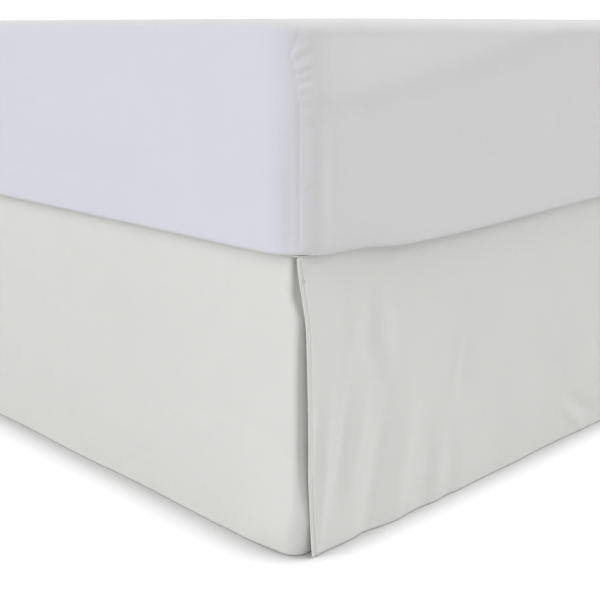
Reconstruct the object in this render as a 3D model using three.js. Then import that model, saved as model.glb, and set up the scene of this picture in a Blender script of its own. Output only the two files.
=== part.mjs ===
// A tailored bed skirt on a queen bed, in millimetres.
//
// The skirt is a flat deck that lies on the box spring, and three panels that hang from the
// deck's edge to the floor: one across the foot and one down each side. The foot corners are
// split. The foot panel goes round each corner and ends in a short wing, and the hemmed front
// edge of the side panel hangs over that wing, which leaves a narrow slit. The head is open.
// The box spring, its legs and the mattress are what the skirt is fitted to, and are plain.
//
// +Z is up and the floor is z = 0. The bed's length runs along Y, with the foot at -Y. The
// origin is on the floor, under the middle of the bed.

import * as THREE from 'three';

// ---------------------------------------------------------------------------
// Driving dimensions
// ---------------------------------------------------------------------------

const GAP = 0.3; // between pieces that lie against each other
const CLEARANCE = 2; // from hanging cloth to the box spring's sides

const BASE_WIDTH = 1500; // box spring, a little under the mattress size
const BASE_LENGTH = 2008;
const BASE_TOP = 356; // the skirt's drop, from the box spring's top to the floor
const BASE_HEIGHT = 229;
const BASE_CORNER = 20; // radius of its upright corners
const BASE_EDGE = 4; // radius of its top and bottom edges

const LEG_TOP_RADIUS = 30;
const LEG_FOOT_RADIUS = 22;
const LEG_INSET = 60; // from the box spring's sides to a leg's axis
const LEG_SIDES = 24;
const EDGE_STEPS = 4; // facets across a block's rounded edge
const CORNER_STEPS = 6; // and round its upright corner

const MATTRESS_WIDTH = 1536;
const MATTRESS_LENGTH = 2044;
const MATTRESS_HEIGHT = 250;
const MATTRESS_CORNER = 50;
const MATTRESS_LOWER_EDGE = 6;
const MATTRESS_UPPER_EDGE = 45;

const CLOTH = 1.5; // thickness of the skirt's cloth
const HEM_EXTRA = 1; // what the folded front hem adds to it
const HEM_WIDTH = 9; // front hem of a side panel
const HEM_RAMP = 1; // over which its extra thickness ends
const HEM_HEIGHT = 1; // the lower edges hang this far above the floor
const DECK_OVERHANG = 1; // of the deck's edge past the panels that are sewn under it

const WING_LENGTH = 75; // of the foot panel, behind a side panel
const WING_SPACE = 1.5; // from the wing to the side panel at their top edges
const FOOT_FLARE = 7; // how far each panel stands out at its hem
const WING_FLARE = 2.5;
const SIDE_FLARE = 9;
const FLARE_POWER = 1.2; // over 1, so that the cloth hangs straight before it flares
const BEND_TOP = 7; // radius of the foot panel round a corner
const BEND_HEM = 34;
const BEND_POWER = 8; // a high power, so that the bend opens only close to the hem

// ---------------------------------------------------------------------------
// Sizes that follow from them
// ---------------------------------------------------------------------------

const BASE_BOTTOM = BASE_TOP - BASE_HEIGHT;
const DECK_BOTTOM = BASE_TOP + GAP;
const PANEL_TOP = DECK_BOTTOM - GAP;
const PANEL_DROP = PANEL_TOP - HEM_HEIGHT;
const MATTRESS_BOTTOM = DECK_BOTTOM + CLOTH + GAP;

const FOOT_INNER = BASE_LENGTH / 2 + CLEARANCE; // inner faces of the panels at their top edges
const WING_INNER = BASE_WIDTH / 2 + CLEARANCE;
const SIDE_INNER = WING_INNER + CLOTH + WING_SPACE;

const lerp = THREE.MathUtils.lerp;

// ---------------------------------------------------------------------------
// Blocks: the box spring, the mattress and the deck
// ---------------------------------------------------------------------------

// Plan outline of a rectangle with round corners, counter-clockwise from above.
function roundedOutline(width, length, radius) {
  const points = [];
  const corners = [[1, -1], [1, 1], [-1, 1], [-1, -1]];
  corners.forEach(([signX, signY], corner) => {
    for (let step = 0; step <= CORNER_STEPS; step += 1) {
      const angle = (Math.PI / 2) * (corner - 1 + step / CORNER_STEPS);
      points.push([
        signX * (width / 2 - radius) + radius * Math.cos(angle),
        signY * (length / 2 - radius) + radius * Math.sin(angle),
      ]);
    }
  });
  return points;
}

// How far in and how high each ring of a block lies, from the bottom face to the top face.
function edgeProfile(height, lowerEdge, upperEdge) {
  const rings = [];
  const quarter = Math.PI / 2;
  for (let step = 0; step <= EDGE_STEPS; step += 1) {
    const angle = quarter * (step / EDGE_STEPS);
    rings.push([lowerEdge * (1 - Math.sin(angle)), lowerEdge * (1 - Math.cos(angle))]);
  }
  for (let step = 0; step <= EDGE_STEPS; step += 1) {
    const angle = quarter * (step / EDGE_STEPS);
    rings.push([upperEdge * (1 - Math.cos(angle)), height - upperEdge * (1 - Math.sin(angle))]);
  }
  return rings;
}

// A block with round upright corners and round lower and upper edges, standing on z = 0.
function blockGeometry({ width, length, corner, profile }) {
  const positions = [];
  for (const [inset, height] of profile) {
    const radius = corner - inset;
    const outline = roundedOutline(width - 2 * inset, length - 2 * inset, radius);
    outline.forEach(([x, y]) => positions.push(x, y, height));
  }
  const around = positions.length / 3 / profile.length;
  const index = [];
  for (let ring = 0; ring + 1 < profile.length; ring += 1) {
    for (let side = 0; side < around; side += 1) {
      const here = ring * around + side;
      const next = ring * around + ((side + 1) % around);
      index.push(here, next, next + around, here, next + around, here + around);
    }
  }
  const top = (profile.length - 1) * around;
  for (let side = 1; side + 1 < around; side += 1) {
    index.push(0, side + 1, side);
    index.push(top, top + side, top + side + 1);
  }
  return closedGeometry(positions, index);
}

function closedGeometry(positions, index) {
  const geometry = new THREE.BufferGeometry();
  geometry.setAttribute('position', new THREE.Float32BufferAttribute(positions, 3));
  geometry.setIndex(index);
  geometry.computeVertexNormals();
  return geometry;
}

// ---------------------------------------------------------------------------
// Cloth: sheets that run counter-clockwise round the bed and from the hem up
// ---------------------------------------------------------------------------

// place(column, height, face) gives a point, where face is 0 on the bed's side and 1 outside.
function sheetGeometry(columns, heights, place) {
  const positions = [];
  for (const face of [0, 1]) {
    for (const column of columns) {
      heights.forEach((height) => positions.push(...place(column, height, face)));
    }
  }
  const rows = heights.length;
  const vertex = (face, column, row) => (face * columns.length + column) * rows + row;
  const index = [];
  const quad = (a, b, c, d) => index.push(a, b, c, a, c, d);
  const top = rows - 1;
  for (let i = 0; i + 1 < columns.length; i += 1) {
    for (let j = 0; j < top; j += 1) {
      quad(vertex(1, i, j), vertex(1, i + 1, j), vertex(1, i + 1, j + 1), vertex(1, i, j + 1));
      quad(vertex(0, i, j), vertex(0, i, j + 1), vertex(0, i + 1, j + 1), vertex(0, i + 1, j));
    }
    quad(vertex(0, i, 0), vertex(0, i + 1, 0), vertex(1, i + 1, 0), vertex(1, i, 0));
    quad(vertex(1, i, top), vertex(1, i + 1, top), vertex(0, i + 1, top), vertex(0, i, top));
  }
  const last = columns.length - 1;
  for (let j = 0; j < top; j += 1) {
    quad(vertex(0, 0, j), vertex(1, 0, j), vertex(1, 0, j + 1), vertex(0, 0, j + 1));
    quad(vertex(1, last, j), vertex(0, last, j), vertex(0, last, j + 1), vertex(1, last, j + 1));
  }
  return closedGeometry(positions, index);
}

// Heights of a panel's rows, evenly spaced from the hem to the seam under the deck.
const ROWS = 12;
const ROW_HEIGHTS = Array.from({ length: ROWS }, (_, row) => (
  lerp(HEM_HEIGHT, PANEL_TOP, row / (ROWS - 1))
));

// 0 at the seam under the deck and 1 at the hem.
const dropAt = (height) => (PANEL_TOP - height) / PANEL_DROP;
const flareAt = (drop, flare) => flare * drop ** FLARE_POWER;

// Distances from a corner: close together beside it and wider apart further on.
function spacedDistances(length, firstStep, growth, widestStep) {
  const distances = [0];
  let step = firstStep;
  while (length - distances.at(-1) > step) {
    distances.push(distances.at(-1) + step);
    step = Math.min(step * growth, widestStep);
  }
  distances[distances.length - 1] = length;
  return distances;
}

// ---- Foot panel ----

const FOOT_FIRST_STEP = 16;
const FOOT_GROWTH = 1.2;
const FOOT_WIDEST_STEP = 62;
const WING_STEPS = 5;
const FOOT_SWELL = 1.2; // low swells along the foot, which grow towards the hem
const FOOT_SWELL_LENGTH = 310;
const SWELL_FADE = 8; // a high power, so that they end close to the corners

// Half of the foot panel's columns, from the middle of the bed to the end of one wing.
function halfFootColumns(side) {
  const column = (stretch) => (along) => ({ side, stretch, along });
  const parts = (count) => Array.from({ length: count }, (_, step) => (step + 1) / count);
  const straight = spacedDistances(WING_INNER, FOOT_FIRST_STEP, FOOT_GROWTH, FOOT_WIDEST_STEP)
    .map((fromCorner) => 1 - fromCorner / WING_INNER)
    .reverse();
  return [
    ...straight.map(column('straight')),
    ...parts(CORNER_STEPS).map(column('bend')),
    ...parts(WING_STEPS).map(column('wing')),
  ];
}

// The panel runs straight across the foot, bends round the corner and ends in the wing. The
// bend is tight at the seam and wide at the hem, so the corner hangs as part of a cone.
function footPoint({ side, stretch, along }, height, face) {
  const drop = dropAt(height);
  const reachX = WING_INNER + flareAt(drop, WING_FLARE);
  const reachY = FOOT_INNER + flareAt(drop, FOOT_FLARE);
  const bend = lerp(BEND_TOP, BEND_HEM, drop ** BEND_POWER);
  const outwards = face * CLOTH;
  if (stretch === 'straight') {
    const x = side * along * (reachX - bend);
    const phase = (2 * Math.PI * x) / FOOT_SWELL_LENGTH;
    const swell = FOOT_SWELL * drop ** 2 * (1 - along ** SWELL_FADE) * Math.cos(phase);
    return [x, -(reachY + swell + outwards), height];
  }
  if (stretch === 'bend') {
    const angle = (Math.PI / 2) * along;
    const radius = bend + outwards;
    return [
      side * (reachX - bend + radius * Math.sin(angle)),
      -(reachY - bend + radius * Math.cos(angle)),
      height,
    ];
  }
  const bendEnd = -(reachY - bend);
  const wingEnd = WING_LENGTH - FOOT_INNER;
  return [side * (reachX + outwards), lerp(bendEnd, wingEnd, along), height];
}

function footPanelGeometry() {
  const rightHalf = halfFootColumns(1);
  const leftHalf = halfFootColumns(-1).slice(1).reverse();
  return sheetGeometry([...leftHalf, ...rightHalf], ROW_HEIGHTS, footPoint);
}

// ---- Side panels ----

const SIDE_FIRST_STEP = 7;
const SIDE_GROWTH = 1.07;
const SIDE_WIDEST_STEP = 70;
const EDGE_AHEAD = 3; // the front edge's upper end stands this far past the foot panel
const EDGE_STEP_BACK = 9.5; // it drops back this much in the first quarter of its fall
const EDGE_STEP_DROP = 0.25;
const EDGE_SWEEP = 10.5; // and by this much more at the hem, where the corner opens
const EDGE_HEM_STAND = 3; // how far the front edge stands out at its lower end
const EDGE_BOW = 6.5; // and how far it bows out halfway down, where the slit is widest
const TUCK_REACH = 70; // how far along the side the hem is drawn in towards the corner
const FOLD = 1.6; // soft upright folds beside the corner, which open towards the hem
const FOLD_LENGTH = 34;
const FOLD_WIDENING = 0.18; // each fold is wider than the last, by this much of its distance
const FOLD_LEAN = 0.2; // the folds fan away from the corner as they rise
const FOLD_START = 13; // distance of the first crest from the front edge
const FOLD_REACH = 170;
const SIDE_SWELL = 1.5; // low swells along the rest of the side
const SIDE_SWELL_LENGTH = 420;

// Where the front edge lies along Y: it slips back at the top, falls straight, and then sweeps
// back at the hem.
function frontEdgeAt(drop) {
  const slip = EDGE_STEP_BACK * THREE.MathUtils.smoothstep(drop, 0, EDGE_STEP_DROP);
  return slip + EDGE_SWEEP * drop ** 4 - (FOOT_INNER + CLOTH + EDGE_AHEAD);
}

// How far the side panel stands out from its place at the seam.
function sideStand(fromEdge, drop) {
  const away = flareAt(drop, SIDE_FLARE);
  const edge = EDGE_HEM_STAND * drop + EDGE_BOW * Math.sin(Math.PI * drop);
  const nearCorner = Math.exp(-fromEdge / TUCK_REACH);
  const foot = Math.max(fromEdge - FOLD_LEAN * (1 - drop) * PANEL_DROP, 0);
  const turns = Math.log(1 + (FOLD_WIDENING * foot) / FOLD_LENGTH) / FOLD_WIDENING;
  const phase = 2 * Math.PI * (turns - FOLD_START / FOLD_LENGTH);
  const fold = FOLD * drop ** 2 * Math.exp(-fromEdge / FOLD_REACH) * Math.cos(phase);
  const swell = SIDE_SWELL * drop ** 2 * Math.sin((2 * Math.PI * fromEdge) / SIDE_SWELL_LENGTH);
  return lerp(away, edge, nearCorner) + fold + swell * (1 - nearCorner);
}

function sidePanelGeometry(side) {
  const headEnd = BASE_LENGTH / 2;
  const length = headEnd - frontEdgeAt(0);
  const place = (fromEdge, height, face) => {
    const drop = dropAt(height);
    const thickness = fromEdge <= HEM_WIDTH ? CLOTH + HEM_EXTRA : CLOTH;
    const x = SIDE_INNER + sideStand(fromEdge, drop) + face * thickness;
    return [side * x, lerp(frontEdgeAt(drop), headEnd, fromEdge / length), height];
  };
  const spaced = spacedDistances(length, SIDE_FIRST_STEP, SIDE_GROWTH, SIDE_WIDEST_STEP);
  const beyondHem = spaced.filter((distance) => distance > HEM_WIDTH + HEM_RAMP);
  const fromEdges = [0, HEM_WIDTH, HEM_WIDTH + HEM_RAMP, ...beyondHem];
  const columns = side > 0 ? fromEdges : fromEdges.reverse();
  return sheetGeometry(columns, ROW_HEIGHTS, place);
}

// ---------------------------------------------------------------------------
// The pieces
// ---------------------------------------------------------------------------

const skirtCloth = (color) => (
  new THREE.MeshStandardMaterial({ color, roughness: 0.9, metalness: 0 })
);

const group = new THREE.Group();

function addPiece(name, geometry, material, position = [0, 0, 0]) {
  const mesh = new THREE.Mesh(geometry, material);
  mesh.name = name;
  mesh.position.set(...position);
  group.add(mesh);
}

addPiece(
  'deck',
  blockGeometry({
    width: 2 * (SIDE_INNER + CLOTH + DECK_OVERHANG),
    length: BASE_LENGTH + CLEARANCE + CLOTH + DECK_OVERHANG,
    corner: BEND_TOP + CLOTH + DECK_OVERHANG,
    profile: [[0, 0], [0, CLOTH]],
  }),
  skirtCloth(0xdcdcd8),
  [0, -(CLEARANCE + CLOTH + DECK_OVERHANG) / 2, DECK_BOTTOM],
);
addPiece('foot_panel', footPanelGeometry(), skirtCloth(0xd9d9d6));
addPiece('side_panel_right', sidePanelGeometry(1), skirtCloth(0xd6d6d3));
addPiece('side_panel_left', sidePanelGeometry(-1), skirtCloth(0xd6d6d3));

addPiece(
  'box_spring',
  blockGeometry({
    width: BASE_WIDTH,
    length: BASE_LENGTH,
    corner: BASE_CORNER,
    profile: edgeProfile(BASE_HEIGHT, BASE_EDGE, BASE_EDGE),
  }),
  new THREE.MeshStandardMaterial({ color: 0xe4e2dc, roughness: 0.95, metalness: 0 }),
  [0, 0, BASE_BOTTOM],
);

const legWood = new THREE.MeshStandardMaterial({ color: 0x8a6a48, roughness: 0.55, metalness: 0 });
const LEG_HEIGHT = BASE_BOTTOM - GAP;
for (const [sideName, side] of [['right', 1], ['left', -1]]) {
  for (const [endName, end] of [['foot', -1], ['middle', 0], ['head', 1]]) {
    const leg = new THREE.CylinderGeometry(LEG_TOP_RADIUS, LEG_FOOT_RADIUS, LEG_HEIGHT, LEG_SIDES);
    leg.rotateX(Math.PI / 2);
    addPiece(`leg_${sideName}_${endName}`, leg, legWood, [
      side * (BASE_WIDTH / 2 - LEG_INSET),
      end * (BASE_LENGTH / 2 - LEG_INSET),
      LEG_HEIGHT / 2,
    ]);
  }
}

addPiece(
  'mattress',
  blockGeometry({
    width: MATTRESS_WIDTH,
    length: MATTRESS_LENGTH,
    corner: MATTRESS_CORNER,
    profile: edgeProfile(MATTRESS_HEIGHT, MATTRESS_LOWER_EDGE, MATTRESS_UPPER_EDGE),
  }),
  new THREE.MeshStandardMaterial({ color: 0xdadbe2, roughness: 0.9, metalness: 0 }),
  [0, 0, MATTRESS_BOTTOM],
);

export default group;
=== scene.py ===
import math

import bpy
import numpy as np
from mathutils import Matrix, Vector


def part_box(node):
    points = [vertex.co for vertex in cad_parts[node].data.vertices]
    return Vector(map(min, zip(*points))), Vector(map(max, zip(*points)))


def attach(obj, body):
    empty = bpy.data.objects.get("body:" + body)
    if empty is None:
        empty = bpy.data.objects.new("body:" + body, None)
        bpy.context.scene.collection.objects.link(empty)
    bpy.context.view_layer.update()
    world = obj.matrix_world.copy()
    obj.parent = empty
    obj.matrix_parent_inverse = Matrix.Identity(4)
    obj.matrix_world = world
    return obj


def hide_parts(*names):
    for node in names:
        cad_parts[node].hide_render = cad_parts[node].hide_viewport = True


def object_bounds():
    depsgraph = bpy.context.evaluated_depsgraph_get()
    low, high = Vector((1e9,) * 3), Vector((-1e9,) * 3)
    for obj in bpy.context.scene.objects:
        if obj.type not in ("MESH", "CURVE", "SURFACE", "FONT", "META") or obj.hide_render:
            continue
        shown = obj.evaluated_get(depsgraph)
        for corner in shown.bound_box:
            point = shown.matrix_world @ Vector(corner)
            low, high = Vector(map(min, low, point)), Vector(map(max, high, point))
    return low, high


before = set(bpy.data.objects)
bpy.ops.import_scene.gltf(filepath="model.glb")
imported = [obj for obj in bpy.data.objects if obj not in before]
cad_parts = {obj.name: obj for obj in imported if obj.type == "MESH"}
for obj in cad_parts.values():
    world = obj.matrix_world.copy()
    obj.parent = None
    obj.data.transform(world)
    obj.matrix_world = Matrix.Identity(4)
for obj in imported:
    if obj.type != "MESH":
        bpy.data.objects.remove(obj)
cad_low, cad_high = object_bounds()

scene = bpy.context.scene

# Lengths are millimetres until a mesh is made from them.

# ---------------------------------------------------------------------------
# Legs: six turned beech legs, stained brown and given a satin varnish. Each
# is screwed up into the box spring's frame, well inside the skirt.
# ---------------------------------------------------------------------------


def add_node(tree, kind, inputs=None, **settings):
    """One shader node. An input is a plain value, or another node's output to link."""
    node = tree.nodes.new(kind)
    for key, value in settings.items():
        setattr(node, key, value)
    for key, value in (inputs or {}).items():
        if isinstance(value, bpy.types.NodeSocket):
            tree.links.new(value, node.inputs[key])
        else:
            node.inputs[key].default_value = value
    return node


def maths(tree, operation, *values):
    """The result of a Math node."""
    return add_node(
        tree, "ShaderNodeMath", dict(enumerate(values)), operation=operation
    ).outputs[0]


def new_material(name):
    """A material that holds only its Principled shader, and that shader."""
    material = bpy.data.materials.new(name)
    material.use_nodes = True
    return material, material.node_tree.nodes["Principled BSDF"]


leg_wood, shader = new_material("leg_wood")
tree = leg_wood.node_tree
place = add_node(tree, "ShaderNodeTexCoord").outputs["Object"]
drawn_out = add_node(tree, "ShaderNodeMapping", {"Vector": place, "Scale": (60, 60, 4)})
grain = add_node(
    tree,
    "ShaderNodeTexNoise",
    {"Vector": drawn_out.outputs[0], "Scale": 2.2, "Detail": 7, "Distortion": 1.2},
).outputs[0]
stain = add_node(tree, "ShaderNodeValToRGB", {"Fac": grain})
stain.color_ramp.elements[0].position = 0.35
stain.color_ramp.elements[0].color = (0.17, 0.085, 0.04, 1)
stain.color_ramp.elements[1].position = 0.68
stain.color_ramp.elements[1].color = (0.33, 0.19, 0.1, 1)
varnish = add_node(tree, "ShaderNodeMapRange", {"Value": grain, "To Min": 0.5, "To Max": 0.36})
pores = add_node(tree, "ShaderNodeBump", {"Height": grain, "Strength": 0.25, "Distance": 0.0004})
tree.links.new(stain.outputs[0], shader.inputs["Base Color"])
tree.links.new(varnish.outputs[0], shader.inputs["Roughness"])
tree.links.new(pores.outputs[0], shader.inputs["Normal"])

for name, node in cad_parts.items():
    if name.startswith("leg_"):
        node.data.materials.clear()
        node.data.materials.append(leg_wood)

# ---------------------------------------------------------------------------
# Box spring: a wooden frame with springs, covered in a firm cotton ticking.
# The cover is pulled tight, and a piped tape closes its top and bottom edges.
# ---------------------------------------------------------------------------


def group_tree(name, inputs, outputs):
    """An empty shader node group, its input node and its output node."""
    tree = bpy.data.node_groups.new(name, "ShaderNodeTree")
    for socket_name, kind, value in inputs:
        socket = tree.interface.new_socket(socket_name, in_out="INPUT", socket_type=kind)
        if value is not None:
            socket.default_value = value
    for socket_name, kind in outputs:
        tree.interface.new_socket(socket_name, in_out="OUTPUT", socket_type=kind)
    return tree, tree.nodes.new("NodeGroupInput"), tree.nodes.new("NodeGroupOutput")


# Plain weave. Place is where the point lies on the flat cloth, in metres. Height is 0 to 1,
# and Slub is the unevenness of the yarn, 0 to 1 with a mean of 0.5.
plain_weave, given, wanted = group_tree(
    "plain_weave",
    [("Place", "NodeSocketVector", None), ("Threads per metre", "NodeSocketFloat", 2500.0)],
    [("Height", "NodeSocketFloat"), ("Slub", "NodeSocketFloat")],
)
turned = maths(plain_weave, "MULTIPLY", given.outputs["Threads per metre"], math.pi)
axes = add_node(plain_weave, "ShaderNodeSeparateXYZ", {"Vector": given.outputs["Place"]})
across = maths(plain_weave, "SINE", maths(plain_weave, "MULTIPLY", axes.outputs[0], turned))
up = maths(plain_weave, "SINE", maths(plain_weave, "MULTIPLY", axes.outputs[1], turned))
over = maths(plain_weave, "MULTIPLY_ADD", maths(plain_weave, "MULTIPLY", across, up), 0.5, 0.5)
threads = add_node(
    plain_weave,
    "ShaderNodeMix",
    {
        0: over,
        2: maths(plain_weave, "ABSOLUTE", across),
        3: maths(plain_weave, "ABSOLUTE", up),
    },
)
plain_weave.links.new(threads.outputs[0], wanted.inputs["Height"])
yarns = []
for scale in ((9, 260, 1), (260, 9, 1)):
    drawn_out = add_node(
        plain_weave, "ShaderNodeMapping", {"Vector": given.outputs["Place"], "Scale": scale}
    )
    yarns.append(
        add_node(
            plain_weave,
            "ShaderNodeTexNoise",
            {"Vector": drawn_out.outputs[0], "Scale": 2.0, "Detail": 3.0},
        ).outputs[0]
    )
slub = maths(plain_weave, "MULTIPLY", maths(plain_weave, "ADD", *yarns), 0.5)
plain_weave.links.new(slub, wanted.inputs["Slub"])

# Rumple: the faint softness of cloth that has been washed and pressed. Height and Shade are
# 0 to 1 with a mean of 0.5.
rumple, given, wanted = group_tree(
    "rumple",
    [("Place", "NodeSocketVector", None), ("Size", "NodeSocketFloat", 0.03)],
    [("Height", "NodeSocketFloat"), ("Shade", "NodeSocketFloat")],
)
scale = maths(rumple, "DIVIDE", 1.0, given.outputs["Size"])
soft = add_node(
    rumple,
    "ShaderNodeTexNoise",
    {"Vector": given.outputs["Place"], "Scale": scale, "Detail": 3.0, "Roughness": 0.55},
)
broad = add_node(
    rumple,
    "ShaderNodeTexNoise",
    {"Vector": given.outputs["Place"], "Scale": maths(rumple, "MULTIPLY", scale, 0.3)},
)
rumple.links.new(soft.outputs[0], wanted.inputs["Height"])
shade = maths(rumple, "MULTIPLY_ADD", soft.outputs[0], 0.35, 0.0)
shade = maths(rumple, "MULTIPLY_ADD", broad.outputs[0], 0.65, shade)
rumple.links.new(shade, wanted.inputs["Shade"])


def cloth_material(name, colour, threads, weave_depth, rumple_size, rumple_depth, uneven, fuzz):
    """Woven cloth. uneven is how much lighter its lightest places are than its darkest."""
    material, shader = new_material(name)
    tree = material.node_tree
    flat = add_node(tree, "ShaderNodeUVMap", uv_map="cloth").outputs[0]
    solid = add_node(tree, "ShaderNodeTexCoord").outputs["Object"]
    weave = add_node(tree, "ShaderNodeGroup", node_tree=plain_weave)
    tree.links.new(flat, weave.inputs["Place"])
    weave.inputs["Threads per metre"].default_value = threads
    soft = add_node(tree, "ShaderNodeGroup", node_tree=rumple)
    tree.links.new(solid, soft.inputs["Place"])
    soft.inputs["Size"].default_value = rumple_size
    level = maths(tree, "MULTIPLY_ADD", weave.outputs["Slub"], 0.35, 0.0)
    level = maths(tree, "MULTIPLY_ADD", weave.outputs["Height"], 0.15, level)
    level = maths(tree, "MULTIPLY_ADD", soft.outputs["Shade"], 0.5, level)
    tone = add_node(tree, "ShaderNodeMapRange", {"Value": level, "From Min": 0.3, "From Max": 0.7})
    tint = add_node(
        tree,
        "ShaderNodeMix",
        {
            0: tone.outputs[0],
            6: tuple(c * (1 - uneven / 2) for c in colour) + (1,),
            7: tuple(c * (1 + uneven / 2) for c in colour) + (1,),
        },
        data_type="RGBA",
    )
    height = maths(tree, "MULTIPLY", weave.outputs["Height"], weave_depth)
    height = maths(tree, "MULTIPLY_ADD", soft.outputs["Height"], rumple_depth, height)
    relief = add_node(tree, "ShaderNodeBump", {"Height": height, "Strength": 1.0, "Distance": 1.0})
    matt = add_node(
        tree, "ShaderNodeMapRange", {"Value": weave.outputs["Height"], "To Min": 0.96, "To Max": 0.86}
    )
    tree.links.new(tint.outputs[2], shader.inputs["Base Color"])
    tree.links.new(matt.outputs[0], shader.inputs["Roughness"])
    tree.links.new(relief.outputs[0], shader.inputs["Normal"])
    shader.inputs["Specular IOR Level"].default_value = 0.2
    shader.inputs["Sheen Weight"].default_value = fuzz
    shader.inputs["Sheen Roughness"].default_value = 0.6
    return material, tint.outputs[2]


def mesh_piece(name, points, faces, cloth, material):
    """A smooth piece that rides on the bed. cloth is where each face's corners lie on the
    flat cloth, in metres."""
    mesh = bpy.data.meshes.new(name)
    mesh.from_pydata((np.asarray(points).reshape(-1, 3) / 1000).tolist(), [], faces)
    mesh.polygons.foreach_set("use_smooth", [True] * len(mesh.polygons))
    layer = mesh.uv_layers.new(name="cloth")
    layer.data.foreach_set("uv", np.asarray(cloth, np.float32).ravel())
    mesh.materials.append(material)
    piece = bpy.data.objects.new(name, mesh)
    scene.collection.objects.link(piece)
    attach(piece, "root")
    return piece


def node_box(name):
    """The lowest and highest corners of a CAD node, in millimetres."""
    low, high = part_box(name)
    return np.array(low) * 1000, np.array(high) * 1000


def spaced(length, first, growth, widest):
    """Distances from 0 to length: first apart at 0, and wider apart further on."""
    found, step = [0.0], first
    while length - found[-1] > step * 1.5:
        found.append(found[-1] + step)
        step = min(step * growth, widest)
    return np.array(found + [length])


def block_plan(low, high, radius, spacing, turns):
    """The outline of a block with round corners, counter-clockwise from the middle of its
    foot: the points it turns about, the ways it faces, and the distance round it."""
    half = (high[:2] - low[:2]) / 2 - radius
    along = [spaced(half[0], *spacing), spaced(half[1], *spacing)]
    pivots, facing = [], []
    for corner, signs in enumerate(((1, -1), (1, 1), (-1, 1), (-1, -1))):
        pivot = half * signs
        start = (corner - 1) * math.pi / 2
        before, after = (along[0], along[1]) if corner % 2 == 0 else (along[1], along[0])
        normal = np.array([math.cos(start), math.sin(start)])
        for distance in before[-2:0:-1] if corner else before[:0:-1]:
            pivots.append(pivot - distance * np.array([-normal[1], normal[0]]))
            facing.append(normal)
        for turn in np.linspace(start, start + math.pi / 2, turns):
            pivots.append(pivot)
            facing.append((math.cos(turn), math.sin(turn)))
        normal = np.array([math.cos(start + math.pi / 2), math.sin(start + math.pi / 2)])
        for distance in after[1:] if corner < 3 else after[1:-1]:
            pivots.append(pivot + distance * np.array([-normal[1], normal[0]]))
            facing.append(normal)
    middle = (low[:2] + high[:2]) / 2
    pivots, facing = np.array(pivots) + middle, np.array(facing)
    outline = pivots + facing * radius
    steps = np.linalg.norm(np.roll(outline, -1, axis=0) - outline, axis=1)
    return pivots, facing, np.concatenate([[0], np.cumsum(steps)])


def block_rings(plan, radius, profile):
    """Rings of points up a block. profile gives each ring's inset and height."""
    pivots, facing, _ = plan
    rings = [
        np.column_stack([pivots + facing * (radius - inset), np.full(len(pivots), height)])
        for inset, height in profile
    ]
    return np.array(rings)


def close_block(name, rings, plan, ends, material):
    """A block's mesh from its rings. ends gives, for the bottom and then the top, how far
    in each further ring lies as a share, and how much higher it is than the last."""
    around = rings.shape[1]
    distance = plan[2] / 1000
    rise = np.linalg.norm(np.diff(rings, axis=0), axis=2).mean(axis=1)
    level = np.concatenate([[0], np.cumsum(rise)]) / 1000
    bottom, top = ends
    layers = [
        np.column_stack([rings[0][:, :2] * (1 - share), rings[0][:, 2] + lift])
        for share, lift in reversed(bottom)
    ]
    below = len(layers)
    layers.extend(rings)
    layers.extend(
        np.column_stack([rings[-1][:, :2] * (1 - share), rings[-1][:, 2] + lift])
        for share, lift in top
    )
    points = np.array(layers)
    flat = points.reshape(-1, 3)
    faces, cloth = [], []
    for ring in range(len(layers) - 1):
        for side in range(around):
            after = (side + 1) % around
            face = [ring * around + side, ring * around + after]
            face += [(ring + 1) * around + after, (ring + 1) * around + side]
            faces.append(face)
            if below <= ring < below + len(rings) - 1:
                low, high = level[ring - below], level[ring - below + 1]
                start, end = distance[side], distance[side + 1]
                cloth += [(start, low), (end, low), (end, high), (start, high)]
            else:
                cloth += [tuple(flat[index, :2] / 1000) for index in face]
    first = list(range(around))
    last = [len(flat) - around + side for side in range(around)]
    for face in (first[::-1], last):
        faces.append(face)
        cloth += [tuple(flat[index, :2] / 1000) for index in face]
    return mesh_piece(name, flat, faces, cloth, material)


def arc(centre_inset, centre_height, radius, start, end, steps):
    """Points of a profile on part of a circle. 0 degrees faces out and 90 up."""
    angles = np.radians(np.linspace(start, end, steps))
    return [
        (centre_inset - radius * math.cos(a), centre_height + radius * math.sin(a)) for a in angles
    ]


ticking, _ = cloth_material(
    "base_ticking",
    colour=(0.70, 0.68, 0.62),
    threads=1800,
    weave_depth=0.00008,
    rumple_size=0.05,
    rumple_depth=0.0006,
    uneven=0.07,
    fuzz=0.15,
)

BASE_CORNER = 46
PIPING = 3.2
base_low, base_high = node_box("box_spring")
base_plan = block_plan(base_low, base_high, BASE_CORNER, (9, 1.18, 60), 11)
base_bottom, base_top = base_low[2], base_high[2]
wall = [
    (
        2.5 + 1.6 * (1 - math.sin(math.pi * share)),
        base_bottom + 9 + share * (base_top - base_bottom - 18),
    )
    for share in np.linspace(0, 1, 14)
]
base_profile = (
    arc(PIPING + 0.4, base_bottom + PIPING + 1, PIPING, -80, 70, 8)
    + wall
    + arc(PIPING + 0.4, base_top - PIPING - 1, PIPING, -70, 80, 8)
)
base_rings = block_rings(base_plan, BASE_CORNER, base_profile)
box_spring = close_block(
    "box_spring_cover",
    base_rings,
    base_plan,
    (
        [(0.004, 0.6), (0.02, 0.2), (0.3, 0.1), (0.95, 0.1)],
        [(0.004, -0.6), (0.02, -0.3), (0.3, 0.0), (0.95, 0.0)],
    ),
    ticking,
)
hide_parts("box_spring")

# ---------------------------------------------------------------------------
# Deck: the flat cotton cloth that lies on the box spring under the mattress.
# It carries the skirt, whose panels are sewn under its turned edge.
# ---------------------------------------------------------------------------

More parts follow.
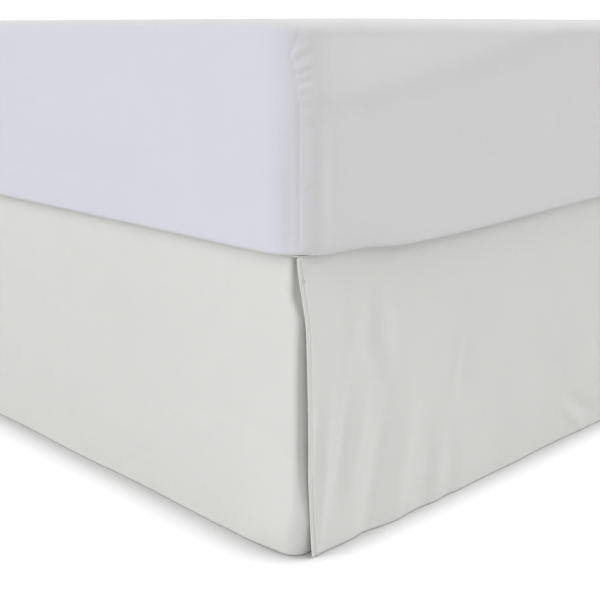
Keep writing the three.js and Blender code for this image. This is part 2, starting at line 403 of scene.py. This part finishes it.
skirt_cloth, _ = cloth_material(
    "skirt_cloth",
    colour=(0.795, 0.795, 0.775),
    threads=2400,
    weave_depth=0.00005,
    rumple_size=0.028,
    rumple_depth=0.00045,
    uneven=0.05,
    fuzz=0.12,
)

DECK_CORNER = 10
deck_low, deck_high = node_box("deck")
deck_plan = block_plan(deck_low, deck_high, DECK_CORNER, (9, 1.18, 60), 11)
thickness = deck_high[2] - deck_low[2]
deck_rings = block_rings(
    deck_plan,
    DECK_CORNER,
    [(14, deck_low[2] + 0.3), (13, deck_low[2])]
    + arc(thickness / 2, deck_low[2] + thickness / 2, thickness / 2, -90, 90, 7)
    + [(13, deck_high[2]), (14, deck_high[2] - 0.4)],
)
deck = close_block(
    "deck_cloth",
    deck_rings,
    deck_plan,
    ([(0.04, 0.0), (0.4, 0.0), (0.95, 0.0)], [(0.04, 0.0), (0.4, 0.0), (0.95, 0.0)]),
    skirt_cloth,
)
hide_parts("deck")

# ---------------------------------------------------------------------------
# Foot panel: one flat cotton panel that hangs across the foot of the bed. It
# goes round each corner and ends in a short wing behind the side panel. Its
# top edge is sewn under the deck, and its lower edge has a narrow hem.
# ---------------------------------------------------------------------------

CLOTH = 0.9
LOWER_HEM = 12
ROW = 3.0  # height between the rows of points down a panel
ROUND_EDGE = 0.4  # how far the middle of an edge stands out, as a share of its thickness
PAST_HEM, PAST_SEAM = 0.5, 0.25  # the most that it passes the ends of the cloth's face


def smooth(value, low, high):
    """0 at low, 1 at high, and a soft step between."""
    share = np.clip((value - low) / (high - low), 0, 1)
    return share * share * (3 - 2 * share)


def creases(along, height, lines):
    """How far soft folds lift a cloth. Each line has two ends, given as distance along the
    cloth and height, its half-width, and its lift, which is negative for a hollow."""
    lift = np.zeros_like(along)
    for (along_0, height_0), (along_1, height_1), width, rise in lines:
        run, climb = along_1 - along_0, height_1 - height_0
        length = math.hypot(run, climb)
        share = ((along - along_0) * run + (height - height_0) * climb) / length**2
        aside = ((along - along_0) * climb - (height - height_0) * run) / length
        ends = smooth(share, -0.2, 0.25) * (1 - smooth(share, 0.55, 1.15))
        lift += rise * ends * np.exp(-((aside / width) ** 2))
    return lift


def grid_normals(points):
    """The way that each point of a grid faces. Rows go down and columns counter-clockwise."""
    normals = np.cross(np.gradient(points, axis=0), np.gradient(points, axis=1))
    return normals / np.linalg.norm(normals, axis=2, keepdims=True)


def hanging_cloth(name, face, thickness, flat, material):
    """A closed sheet of cloth with round edges. face is the grid of points of its outer
    face, and flat is where they lie on the flat cloth."""
    rows, columns = face.shape[:2]
    back = face - grid_normals(face) * thickness[..., None]
    index = np.arange(rows * columns).reshape(rows, columns)
    border = np.concatenate([index[0, :-1], index[:-1, -1], index[-1, :0:-1], index[:0:-1, 0]])
    beside = np.concatenate([index[1, :-1], index[:-1, -2], index[-2, :0:-1], index[:0:-1, 1]])
    faces_out, faces_back = face.reshape(-1, 3), back.reshape(-1, 3)
    middle = (faces_out + faces_back) / 2
    away = middle[border] - middle[beside]
    away /= np.linalg.norm(away, axis=1, keepdims=True)
    rim = middle[border] + away * thickness.ravel()[border, None] * ROUND_EDGE
    lowest, highest = face[..., 2].min() - PAST_HEM, face[..., 2].max() + PAST_SEAM
    rim[:, 2] = np.clip(rim[:, 2], lowest, highest)
    points = np.concatenate([faces_out, faces_back, rim])
    count = rows * columns
    a, b = index[:-1, :-1].ravel(), index[:-1, 1:].ravel()
    c, d = index[1:, 1:].ravel(), index[1:, :-1].ravel()
    after = np.roll(border, -1)
    edge = 2 * count + np.arange(len(border))
    next_edge = np.roll(edge, -1)
    faces = np.concatenate(
        [
            np.column_stack([a, d, c, b]),
            np.column_stack([a, b, c, d]) + count,
            np.column_stack([border, after, next_edge, edge]),
            np.column_stack([edge, next_edge, after + count, border + count]),
        ]
    )
    flat = flat.reshape(-1, 2)
    places = np.concatenate([flat, flat, flat[border]]) / 1000
    return mesh_piece(name, points, faces.tolist(), places[faces], material)


foot_low, foot_high = node_box("foot_panel")
seam_height, hem_height = foot_high[2], foot_low[2]
fall = seam_height - hem_height
WING_FLARE = 2.5
FOOT_FLARE = 7.0
FLARE_POWER = 1.2  # over 1, so that the cloth hangs plumb at its seam and flares lower down
SET_IN = 1.2  # room left for the folds to stand out
BEND_TOP = 6.0  # radius of the panel round a corner, at the seam and at the hem
BEND_HEM = 28.0
TUCK_TOP = 11.0  # how far it is tucked in behind the slit, above these two heights
TUCK_STARTS, TUCK_WHOLE = 282, 318
TUCK_MIDDLE = 3.0

heights = np.linspace(seam_height, hem_height, int(fall / ROW) + 1)[:, None]
drop = (seam_height - heights) / fall
reach_x = foot_high[0] - WING_FLARE + WING_FLARE * drop**FLARE_POWER
reach_y = -foot_low[1] - FOOT_FLARE + FOOT_FLARE * drop**FLARE_POWER - SET_IN
bend = BEND_TOP + (BEND_HEM - BEND_TOP) * smooth(drop, 0.72, 1.04)

# Columns of points, as shares of each stretch: close at the corner, and wider apart inwards.
straight = 1 - spaced(1000, 3.2, 1.02, 15)[::-1][None, :-1] / 1000
turn = np.linspace(0, math.pi / 2, 30)[None, :]
wing = np.linspace(0, 1, 24)[None, 1:]

# Behind the slit the panel is tucked in, most of all beside the seam.
tucked = TUCK_TOP * smooth(heights, TUCK_STARTS, TUCK_WHOLE)
tucked = tucked + TUCK_MIDDLE * smooth(drop, 0.05, 0.3) * (1 - smooth(drop, 0.6, 0.85))
half_x = np.hstack(
    [
        (reach_x - tucked - bend) * straight,
        reach_x - tucked - bend + bend * np.sin(turn),
        reach_x - tucked * (1 - smooth(wing, 0.0, 0.42)),
    ]
)
half_y = np.hstack(
    [
        -reach_y + 0 * straight,
        -(reach_y - bend + bend * np.cos(turn)),
        -(reach_y - bend) + (foot_high[1] + reach_y - bend) * wing,
    ]
)
foot_x = np.hstack([-half_x[:, :0:-1], half_x])
foot_y = np.hstack([half_y[:, :0:-1], half_y])
foot_z = heights + 0 * foot_x
foot_face = np.stack([foot_x, foot_y, foot_z], axis=2)

# Places on the panel are counted from the plane of the side panel's hem, below 0 inside it.
side_low, side_high = node_box("side_panel_right")
HEM_STAND = 10.5
hem_plane = side_low[0] + HEM_STAND
inward = np.abs(foot_x) - hem_plane
steps = np.linalg.norm(np.diff(foot_face, axis=1), axis=2)
round_panel = np.hstack([0 * heights, np.cumsum(steps, axis=1)])
round_panel -= round_panel[:, [foot_x.shape[1] // 2]]

# Soft creases, as two ends along the panel and up it, half-width and lift.
FOOT_CREASES = [
    ((-205, 128), (-100, 160), 9, -0.9),
    ((-110, 150), (-15, 128), 8, -0.8),
    ((-380, -10), (-262, 76), 11, -1.0),
    ((-34, 318), (-14, 305), 2.4, -0.9),
    ((-36, 309), (-12, 297), 2.4, 0.8),
    ((-36, 300), (-10, 290), 2.8, -0.7),
    ((-430, 230), (-300, 300), 26, 0.8),
    ((-640, 60), (-500, 150), 30, 0.9),
    ((-160, 60), (-60, 40), 18, -0.6),
]
FOOT_SWELL = 1.2
SWELL_LENGTH = 310
LEFT_SHIFT = 30  # the left end of the panel has three of them, further in
near_right = smooth(foot_x, -80, 80)
relief = creases(inward, foot_z, FOOT_CREASES) * near_right
relief += creases(inward + LEFT_SHIFT, foot_z, FOOT_CREASES[2:5]) * (1 - near_right)

# Low at the corner the panel is drawn in below a soft slanting fold.
FOLD_END = (-69, 15)
ACROSS_FOLD = (0.47, -0.88)
FOLD_STAND = 1.6
FOLD_SLOPE = 0.22
past_fold = (inward - FOLD_END[0]) * ACROSS_FOLD[0] + (foot_z - FOLD_END[1]) * ACROSS_FOLD[1]
drawn_in = FOLD_SLOPE * (past_fold + np.sqrt(past_fold**2 + 9.0)) / 2
low_corner = smooth(foot_z, 120, 50) * smooth(inward, -130, -60)
relief += low_corner * (FOLD_STAND - drawn_in)
swell = np.cos(2 * math.pi * foot_x / SWELL_LENGTH) * smooth(-inward, 60, 220)
relief += FOOT_SWELL * drop**2 * swell

foot_thickness = CLOTH * (1 + (foot_z < hem_height + LOWER_HEM))
level_out = grid_normals(foot_face) * (1, 1, 0)
foot_face = foot_face + level_out * relief[..., None]
foot_panel = hanging_cloth(
    "foot_panel_cloth",
    foot_face,
    foot_thickness,
    np.stack([round_panel, foot_z], axis=2),
    skirt_cloth,
)
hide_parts("foot_panel")

# ---------------------------------------------------------------------------
# Side panels: a flat cotton panel down each side of the bed. The front edge,
# at the foot corner, has a thick turned hem with one row of stitches, and a
# bar tack near its top. The row above the tack is a dense zigzag.
# ---------------------------------------------------------------------------

SIDE_FLARE = 9.0
SLACK_REACH = 380  # of the looser cloth beside the corner, which hangs in before it flares
SLACK_POWER = 1.4
SLACK_DIP = 2.0
FRONT_HEM = 7.0
HEM_THICKNESS = 3.4
STITCH_LINE = 3.8  # from the front edge
EDGE_STEP_BACK = 9.5  # of the front edge over the first quarter of its drop
EDGE_SWEEP = 10.5  # and again towards its hem
EDGE_HEM_STAND = 3.0  # how far that edge stands out at its hem and half-way down
EDGE_BOW = 6.0
EDGE_REACH = 70.0
BEHIND = 0.4  # the space left behind the cloth
RIPPLE = 1.2
RIPPLE_LENGTH = 420

# Folds, as two ends in distance behind the foot panel's hem and height, half-width and lift.
SIDE_FOLDS = [
    ((31, -12), (54, 205), 8, 2.3),
    ((62, 66), (88, 190), 9, -2.6),
    ((84, 50), (119, 185), 12, 3.0),
    ((106, -25), (161, 180), 15, -4.2),
    ((158, -8), (206, 165), 17, 4.4),
    ((212, -8), (240, 105), 15, -2.2),
    ((239, 2), (264, 96), 11, 2.6),
    ((268, -8), (288, 88), 11, -2.2),
    ((300, -8), (312, 60), 12, 1.0),
    ((20, 80), (38, 225), 7, -1.3),
    ((160, 190), (134, 305), 15, 2.2),
    ((80, 215), (106, 295), 12, 1.7),
    ((118, 215), (128, 300), 11, -1.5),
    ((296, 130), (312, 215), 8, -1.4),
    ((284, 135), (300, 220), 8, 1.4),
    ((548, 52), (612, -8), 6, 1.5),
    ((560, 62), (640, 14), 8, -1.6),
    ((575, 30), (596, 8), 5, 1.0),
    ((620, 100), (700, 250), 26, -1.8),
    ((420, -40), (440, 160), 40, 1.8),
    ((760, -40), (740, 220), 50, 1.8),
]


def front_edge(drop):
    """How far the front edge lies behind its own upper end."""
    return EDGE_STEP_BACK * smooth(drop, 0, 0.25) + EDGE_SWEEP * drop**4


def side_face(low, high, folds, columns):
    """The outer face of a side panel for the right of the bed, and its flat places."""
    heights = np.linspace(high[2], low[2], int(fall / ROW) + 1)[:, None]
    drop = (high[2] - heights) / fall
    from_edge = columns[None, :]
    start = low[1] + front_edge(drop)
    share = from_edge / columns[-1]
    y = start + (high[1] - start) * share
    behind_foot = y - foot_low[1]
    near = np.exp(-from_edge / EDGE_REACH)
    slack = np.exp(-((from_edge / SLACK_REACH) ** 2))
    away = SIDE_FLARE * drop ** (FLARE_POWER + SLACK_POWER * slack)
    away = away - SLACK_DIP * slack * np.sin(math.pi * drop)
    edge = EDGE_HEM_STAND * drop + EDGE_BOW * np.sin(math.pi * drop)
    stand = away + (edge - away) * near
    stand = stand + creases(behind_foot, heights + 0 * y, folds) * smooth(drop, 0.02, 0.25)
    stand = stand + RIPPLE * drop**2 * np.sin(2 * math.pi * y / RIPPLE_LENGTH) * (1 - near)
    x = low[0] + CLOTH + BEHIND + stand + hem_relief(from_edge)
    points = np.stack([x, y, heights + 0 * y], axis=2)
    flat = np.stack([from_edge + 0 * y, heights + 0 * y], axis=2)
    folded = 1 - smooth(from_edge, FRONT_HEM - 0.8, FRONT_HEM + 0.8)
    thickness = CLOTH + (HEM_THICKNESS - CLOTH) * folded
    thickness = np.maximum(thickness + 0 * y, CLOTH * (1 + (heights < low[2] + LOWER_HEM)))
    return points, thickness, flat


def hem_relief(from_edge):
    """The front hem's rounded fold, which slopes down to where its stitches pull it in."""
    crown = 1.3 * (1 - smooth(from_edge, 0.6, STITCH_LINE + 1.2))
    dip = 1.2 * np.exp(-(((from_edge - STITCH_LINE) / 0.95) ** 2))
    ridge = 0.6 * (1 - smooth(from_edge, FRONT_HEM - 0.9, FRONT_HEM + 0.9))
    return crown - dip + ridge


side_columns = np.concatenate([np.arange(0, 12, 0.6), 12 + spaced(2007, 2.2, 1.014, 16)])
right_face, right_thickness, right_flat = side_face(
    side_low, side_high, SIDE_FOLDS, side_columns
)
side_right = hanging_cloth(
    "side_panel_right_cloth", right_face, right_thickness, right_flat, skirt_cloth
)
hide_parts("side_panel_right")

LEFT_FOLDS = [
    ((40, -60), (70, 170), 11, 1.2),
    ((62, -60), (96, 190), 12, -1.3),
    ((100, -50), (140, 180), 17, 1.2),
    ((190, -40), (215, 140), 22, -1.0),
    ((330, -40), (310, 150), 30, 0.9),
    ((640, -40), (660, 200), 45, 1.1),
]
left_face, left_thickness, left_flat = side_face(side_low, side_high, LEFT_FOLDS, side_columns)
left_face = left_face[:, ::-1] * np.array([-1, 1, 1])
side_left = hanging_cloth(
    "side_panel_left_cloth",
    left_face,
    left_thickness[:, ::-1],
    left_flat[:, ::-1],
    skirt_cloth,
)
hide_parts("side_panel_left")


def thread_piece(name, starts, ends, lifts, radius, material):
    """Stitches: a short round length of thread from each start to each end, which rises
    along lifts in its middle."""
    shares = np.array([0.0, 0.12, 0.35, 0.65, 0.88, 1.0])
    swell = np.array([0.35, 0.9, 1.0, 1.0, 0.9, 0.35])
    hump = np.array([-0.6, 0.3, 0.75, 0.75, 0.3, -0.6])
    sides = 6
    points, faces, cloth = [], [], []
    for start, end, lift in zip(starts, ends, lifts):
        first = len(points)
        run = end - start
        aside = np.cross(run, lift)
        aside /= np.linalg.norm(aside)
        up = lift / np.linalg.norm(lift)
        for share, size, rise in zip(shares, swell, hump):
            middle = start + run * share + up * rise * radius
            for side in range(sides):
                angle = 2 * math.pi * side / sides
                spoke = aside * math.cos(angle) + up * math.sin(angle)
                points.append(middle + spoke * radius * size)
        for ring in range(len(shares) - 1):
            for side in range(sides):
                after = (side + 1) % sides
                here = first + ring * sides
                faces.append([here + side, here + after, here + sides + after, here + sides + side])
                cloth += [(0, 0), (0.001, 0), (0.001, 0.001), (0, 0.001)]
        last = first + (len(shares) - 1) * sides
        faces.append([first + side for side in range(sides)][::-1])
        faces.append([last + side for side in range(sides)])
        cloth += [(0, 0)] * (2 * sides)
    return mesh_piece(name, points, faces, cloth, material)


def place_on(face, flat, along, height):
    """The point of a panel's outer face at a distance along it and a height."""
    rows = np.interp(-height, -flat[:, 0, 1], np.arange(len(flat)))
    columns = np.interp(along, flat[0, :, 0], np.arange(flat.shape[1]))
    row = min(int(rows), len(flat) - 2)
    column = min(int(columns), flat.shape[1] - 2)
    down, across = rows - row, columns - column
    upper = face[row, column] * (1 - across) + face[row, column + 1] * across
    lower = face[row + 1, column] * (1 - across) + face[row + 1, column + 1] * across
    return upper * (1 - down) + lower * down


thread, _ = cloth_material(
    "skirt_thread",
    colour=(0.74, 0.74, 0.72),
    threads=5000,
    weave_depth=0.00002,
    rumple_size=0.004,
    rumple_depth=0.0001,
    uneven=0.08,
    fuzz=0.1,
)

STITCH = 2.6
STITCH_SPACING = 3.3
TACK_HEIGHT = 330.0
TACK_TURN = 0.8  # height between the threads of the bar tack
ZIGZAG_EDGES = (1.4, 4.4, 7.4)
ZIGZAG_STEP = 2.1
ZIGZAG_RISE = 1.7
THREAD_RADIUS = 0.28


def hem_stitches(face, flat):
    """The row of stitches down a front hem, the bar tack, and the zigzag above it."""
    starts, ends = [], []
    for height in np.arange(hem_height + 4, TACK_HEIGHT - 4, STITCH_SPACING):
        starts.append(place_on(face, flat, STITCH_LINE, height + STITCH))
        ends.append(place_on(face, flat, STITCH_LINE, height))
    for height in np.arange(TACK_HEIGHT - 1.6, TACK_HEIGHT + 1.7, TACK_TURN):
        starts.append(place_on(face, flat, 0.8, height))
        ends.append(place_on(face, flat, FRONT_HEM + 1.5, height + 0.5))
    for height in np.arange(TACK_HEIGHT + 4, seam_height - 2, ZIGZAG_STEP):
        for along, further in zip(ZIGZAG_EDGES, ZIGZAG_EDGES[1:]):
            starts.append(place_on(face, flat, along, height))
            ends.append(place_on(face, flat, further, height + ZIGZAG_RISE))
    return np.array(starts), np.array(ends)


starts, ends = hem_stitches(right_face, right_flat)
right_thread = thread_piece(
    "side_panel_right_stitches",
    starts,
    ends,
    np.tile([1.0, 0, 0], (len(starts), 1)),
    THREAD_RADIUS,
    thread,
)
left_thread = thread_piece(
    "side_panel_left_stitches",
    ends * np.array([-1, 1, 1]),
    starts * np.array([-1, 1, 1]),
    np.tile([-1.0, 0, 0], (len(starts), 1)),
    THREAD_RADIUS,
    thread,
)

# ---------------------------------------------------------------------------
# Mattress: a plain foam mattress in a fitted sheet of fine white cotton. The
# sheet has a sewn dart down each corner, whose allowance shows as a raised
# band, and its elastic draws small puckers along the upper part of the dart.
# ---------------------------------------------------------------------------

MATTRESS_CORNER = 50.0
LOWER_EDGE = 6.0
UPPER_EDGE = 16.0
TOP_SINKS = 5.0  # how much lower its top is near its edge than in its middle
FINE_FROM = 486  # the height above which the rings are closer, for the puckers
BULGE = 1.5  # how far its sides swell out, over this height
BULGE_HEIGHT = 180
bed_low, bed_high = node_box("mattress")
mattress_plan = block_plan(bed_low, bed_high, MATTRESS_CORNER, (2.6, 1.035, 30), 36)
bed_bottom, bed_top = bed_low[2], bed_high[2] - TOP_SINKS
mattress_profile = (
    [(26.0, bed_bottom + 0.4), (14.0, bed_bottom + 0.2)]
    + arc(LOWER_EDGE, bed_bottom + LOWER_EDGE, LOWER_EDGE, -90, 0, 7)
    + [(0.0, height) for height in np.arange(bed_bottom + 10, FINE_FROM, 4.0)]
    + [(0.0, height) for height in np.arange(FINE_FROM, bed_top - UPPER_EDGE, 2.4)]
    + arc(UPPER_EDGE, bed_top - UPPER_EDGE, UPPER_EDGE, 0, 84, 22)
)
bed_rings = block_rings(mattress_plan, MATTRESS_CORNER, mattress_profile)

facing = np.column_stack([mattress_plan[1], np.zeros(len(mattress_plan[1]))])[None]
round_bed = mattress_plan[2][:-1]
whole_way = mattress_plan[2][-1]
darts = []
for corner in range(4):
    bearing = math.radians(90 * corner - 45)
    towards = np.array([math.cos(bearing), math.sin(bearing)])
    darts.append(round_bed[np.argmax(bed_rings[10, :, :2] @ towards)])
gaps = (round_bed[None, :] - np.array(darts)[:, None] + whole_way / 2) % whole_way - whole_way / 2
nearest = np.argmin(np.abs(gaps), axis=0)
from_dart = gaps[nearest, np.arange(len(round_bed))][None, :] * np.where(nearest % 2, -1, 1)
level = bed_rings[..., 2]
inset = np.array([p[0] for p in mattress_profile])[:, None]

# The dart wanders a little where the elastic pulls it.
sway = 1.5 * smooth(level, 585, 600) - 9.0 * np.exp(-(((level - 566) / 17) ** 2))
sway = sway - 3.0 * np.exp(-(((level - 536) / 14) ** 2)) + 2.6
off_dart = from_dart - sway

# Puckers and soft folds of the sheet, from the dart and up from the floor.
SHEET_PUCKERS = [
    ((1, 566), (22, 582), 2.2, 1.1),
    ((3, 560), (24, 571), 2.4, -1.0),
    ((1, 552), (20, 559), 1.9, 1.2),
    ((3, 547), (24, 556), 2.2, -1.1),
    ((1, 543), (18, 550), 1.8, 1.0),
    ((2, 538), (18, 543), 1.8, -0.9),
    ((1, 532), (16, 535), 1.7, 0.9),
    ((2, 527), (15, 528), 1.7, -0.8),
    ((1, 521), (14, 522), 1.7, 0.8),
    ((0, 515), (15, 514), 1.6, -0.7),
    ((1, 509), (12, 508), 1.6, 0.6),
    ((0, 496), (20, 495), 1.8, -0.8),
    ((2, 434), (22, 442), 2.2, 0.9),
    ((4, 428), (22, 434), 2.0, -0.7),
    ((10, 452), (28, 462), 3.0, 0.6),
    ((8, 422), (18, 424), 2.0, 0.6),
    ((24, 520), (44, 400), 10, -1.2),
    ((60, 500), (52, 380), 22, 0.9),
    ((-8, 345), (-10, 480), 7, -1.6),
    ((-40, 480), (-34, 360), 12, 0.8),
    ((-640, 412), (-150, 404), 11, -0.9),
    ((-600, 430), (-220, 424), 12, 0.5),
    ((-620, 366), (-480, 380), 6, 0.5),
    ((54, 506), (60, 509), 2.5, 0.6),
    ((90, 512), (96, 513), 2.5, 0.6),
]

# The dart's stitches pull the sheet in, and its allowance lies behind it as a band.
tuck = -1.1 * np.exp(-((off_dart / 0.9) ** 2))
band = (0.3 + 0.12 * off_dart) * smooth(off_dart, 0.2, 1.4) * (1 - smooth(off_dart, 12.0, 38.0))
band = band * (1 - 0.6 * smooth(level, 500, 520))
shift = np.where(nearest == 0, 0, 9.0 * nearest)[None, :]
puckers = 0.75 * creases(off_dart + 0 * level, level + shift, SHEET_PUCKERS)

# Along the side a soft roll stands out under the top edge, and climbs away from the dart.
on_side = smooth(from_dart, -50, 90)
roll_at = 520 + 63 * (np.clip(from_dart, 0, 500) / 415) ** 1.5
above_roll = level - roll_at
roll = 3.2 * smooth(above_roll, -26, 10) + 1.6 * smooth(above_roll, -95, 10)
roll = (roll - 10.0 * smooth(above_roll, -6, 84)) * on_side
foot_roll = 1.2 * np.exp(-(((level - 470) / 60) ** 2)) * (1 - on_side)
bulge = BULGE * np.sin(math.pi * np.clip((level - bed_bottom) / BULGE_HEIGHT, 0, 1))
lift = tuck + band + puckers + roll + foot_roll + bulge
lift = lift * smooth(level, bed_bottom + 1, bed_bottom + 12)

# The lower edge is rounder beside the dart than further along the side.
by_dart = smooth(from_dart, 6, 34) * (1 - smooth(from_dart, 70, 150))
at_corner = np.exp(-((from_dart / 26) ** 2))
lift = lift + (2.5 * at_corner - 3.0 * by_dart) * np.clip(1 - (level - bed_bottom) / 30, 0, 1) ** 2
lift = lift * (1 - 0.55 * smooth(level, bed_top - 20, bed_top))
bed_rings = bed_rings + facing * lift[..., None]

# The lower edge sags a little along the side and is drawn up at the dart.
sag = -8.5 * smooth(from_dart, 80, 175) * (1 - smooth(from_dart, 240, 640))
sag = sag + 2.0 * np.exp(-(((from_dart - 8) / 30) ** 2)) - 1.5 - 2.0 * by_dart
lip = (1 - smooth(inset, 3.0, 6.0)) * (1 - smooth(level, bed_bottom + 20, bed_bottom + 70))
bed_rings[..., 2] += sag * lip
bed_top_rings = [
    (share, 5.5 * math.sin(share * math.pi / 2))
    for share in (0.012, 0.03, 0.06, 0.11, 0.18, 0.28, 0.4, 0.55, 0.7, 0.85, 0.97)
]

sheet_cloth, sheet_tint = cloth_material(
    "mattress_sheet",
    colour=(0.775, 0.77, 0.78),
    threads=4200,
    weave_depth=0.00003,
    rumple_size=0.035,
    rumple_depth=0.0005,
    uneven=0.045,
    fuzz=0.15,
)
tree = sheet_cloth.node_tree
way = add_node(tree, "ShaderNodeTexCoord").outputs["Normal"]
towards_foot = add_node(
    tree,
    "ShaderNodeMapRange",
    {"Value": add_node(tree, "ShaderNodeSeparateXYZ", {"Vector": way}).outputs[1]},
)
towards_foot.inputs["From Min"].default_value = -0.6
towards_foot.inputs["From Max"].default_value = -0.98
cooler = add_node(
    tree,
    "ShaderNodeMix",
    {0: towards_foot.outputs[0], 6: (1, 1, 1, 1), 7: (0.99, 1.0, 1.085, 1)},
    data_type="RGBA",
)
cool_sheet = add_node(
    tree,
    "ShaderNodeMix",
    {0: 1.0, 6: sheet_tint, 7: cooler.outputs[2]},
    data_type="RGBA",
    blend_type="MULTIPLY",
)
shader = tree.nodes["Principled BSDF"]
tree.links.new(cool_sheet.outputs[2], shader.inputs["Base Color"])

mattress = close_block(
    "mattress_with_sheet",
    bed_rings,
    mattress_plan,
    ([(0.02, 0.0), (0.3, 0.0), (0.95, 0.0)], bed_top_rings),
    sheet_cloth,
)
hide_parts("mattress")

# ---------------------------------------------------------------------------
# Studio: a pale floor in front of white, with a painted contact shadow round the
# bed, broad soft light from both sides and from above, and a camera at the foot
# corner, a little below the mattress top.
# ---------------------------------------------------------------------------

floor_white, shader = new_material("floor_white")
tree = floor_white.node_tree
# The floor glows for the camera alone. The glow is painted darker close to the bed and skirt, by how
# closed in each point is: a painted contact shadow. The floor's lit colour adds the real shade.
closeness = add_node(tree, "ShaderNodeAmbientOcclusion", {"Distance": 0.08}, samples=16)
painted_contact_shadow = add_node(tree, "ShaderNodeValToRGB", {"Fac": closeness.outputs["AO"]})
painted_contact_shadow.color_ramp.elements[0].position = 0.46
painted_contact_shadow.color_ramp.elements[0].color = (0.05, 0.05, 0.05, 1)
painted_contact_shadow.color_ramp.elements[1].position = 0.93
painted_contact_shadow.color_ramp.elements[1].color = (0.95, 0.95, 0.95, 1)
middle = painted_contact_shadow.color_ramp.elements.new(0.7)
middle.color = (0.6, 0.6, 0.6, 1)
seen = add_node(tree, "ShaderNodeLightPath").outputs["Is Camera Ray"]
floor_glow = maths(tree, "MULTIPLY", seen, 0.75)
tree.links.new(painted_contact_shadow.outputs[0], shader.inputs["Emission Color"])
tree.links.new(floor_glow, shader.inputs["Emission Strength"])
floor_tone = add_node(tree, "ShaderNodeMapRange", {"Value": seen, "To Min": 0.8, "To Max": 0.5})
tree.links.new(floor_tone.outputs[0], shader.inputs["Base Color"])
shader.inputs["Roughness"].default_value = 0.9
shader.inputs["Specular IOR Level"].default_value = 0.0

FLOOR_REACH = 9
floor_mesh = bpy.data.meshes.new("floor")
floor_corners = [(x * FLOOR_REACH, y * FLOOR_REACH, 0) for x, y in ((-1, -1), (1, -1), (1, 1), (-1, 1))]
floor_mesh.from_pydata(floor_corners, [], [(0, 1, 2, 3)])
floor_mesh.materials.append(floor_white)
floor = bpy.data.objects.new("floor", floor_mesh)
scene.collection.objects.link(floor)

world = bpy.data.worlds.new("studio")
scene.world = world
world.use_nodes = True
tree = world.node_tree
seen = add_node(tree, "ShaderNodeLightPath").outputs["Is Camera Ray"]
strength = add_node(
    tree, "ShaderNodeMapRange", {"Value": seen, "To Min": 0.41, "To Max": 1.1}
).outputs[0]
backdrop = tree.nodes["Background"]
backdrop.inputs["Color"].default_value = (1, 1, 1, 1)
tree.links.new(strength, backdrop.inputs["Strength"])


def soft_light(name, bearing, height, spread, strength):
    """Broad even light from a bearing round the bed, 0 being its right side, at a height
    above the floor, both in degrees."""
    light = bpy.data.lights.new(name, "SUN")
    light.angle = math.radians(spread)
    light.energy = strength
    lamp = bpy.data.objects.new(name, light)
    lamp.rotation_euler = (math.radians(90 - height), 0, math.radians(bearing + 90))
    scene.collection.objects.link(lamp)


soft_light("left_light", -104, 38, 50, 1.31)
soft_light("right_light", 55, 46, 50, 1.42)

# The camera stands off the foot corner and looks down at its middle.
foot_corner = np.array([cad_high[0], cad_low[1], 0])
eye = foot_corner + (0.7736, -0.7560, 0.5967)
aim = foot_corner + (0.0016, 0.0017, 0.3153)
lens = bpy.data.cameras.new("camera")
lens.sensor_width = 36
lens.lens = 63.43
camera = bpy.data.objects.new("camera", lens)
camera.location = eye
way = aim - eye
camera.rotation_euler = (
    math.atan2(math.hypot(way[0], way[1]), -way[2]),
    0,
    math.atan2(way[1], way[0]) - math.pi / 2,
)
scene.collection.objects.link(camera)
scene.camera = camera
scene.view_settings.view_transform = "Standard"
